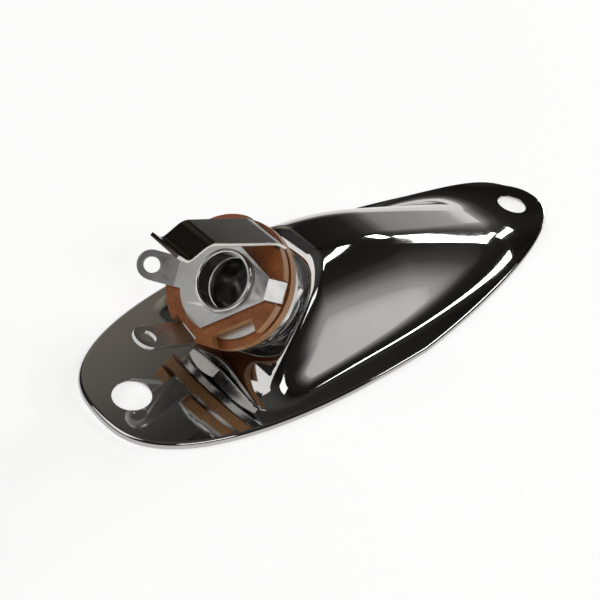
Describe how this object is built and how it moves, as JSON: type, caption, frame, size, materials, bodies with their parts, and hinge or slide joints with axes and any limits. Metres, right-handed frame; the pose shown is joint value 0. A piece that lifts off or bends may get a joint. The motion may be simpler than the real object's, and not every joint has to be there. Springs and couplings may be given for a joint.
{
  "type": "instrument output jack plate with open-frame socket",
  "caption": "Chromed boat-shaped plate with a pressed dish that holds an angled open-frame quarter-inch phone socket with solder lugs and a leaf contact.",
  "frame": {"origin": "middle of the plate's footprint, on the plane of its front face, which lies down", "axes": "+X along the plate away from the socket end, +Y across it, +Z from the plate's front face to its back, where the socket stands"},
  "size_m": [0.088, 0.03, 0.0229],
  "materials": {
    "plate_chrome": "mirror-bright chrome plating on pressed steel sheet",
    "bushing_nickel": "nickel plated, turned",
    "washer_steel": "zinc or nickel plated stamping",
    "contact_metal": "tin plated brass stamping",
    "spring_metal": "nickel plated spring bronze",
    "phenolic": "paper phenolic board, sawn edges"
  },
  "bodies": {
    "plate": {"jack_plate": "plate_chrome", "bushing": "bushing_nickel", "lock_washer": "washer_steel", "backing_washer": "washer_steel", "insulator_front": "phenolic", "insulator_rear": "phenolic", "tip_terminal": "contact_metal", "sleeve_contact": "contact_metal"},
    "tip_leaf": {"tip_spring": "spring_metal"},
    "washer": {"dress_washer": "washer_steel"},
    "nut": {"hex_nut": "washer_steel"}
  },
  "joints": [
    {"name": "leaf_flex", "type": "hinge", "parent": "plate", "child": "tip_leaf", "pos_m": [-0.02042, 0, 0.01752], "axis": [0, 1, 0], "range_deg": [-2, 10], "stiffness_Nm_per_rad": 0.1},
    {"name": "washer_slide", "type": "slide", "parent": "plate", "child": "washer", "axis": [0.7694, 0, -0.6388], "range_m": [0, 0.00106]},
    {"name": "nut_turn", "type": "hinge", "parent": "washer", "child": "nut", "pos_m": [-0.02063, 0, 0.00827], "axis": [0.7694, 0, -0.6388], "range_deg": [0, 480]}
  ],
  "couplings": [
    {"joint": "nut_turn", "follows": "washer_slide", "rad_per_m": 7915.8}
  ]
}
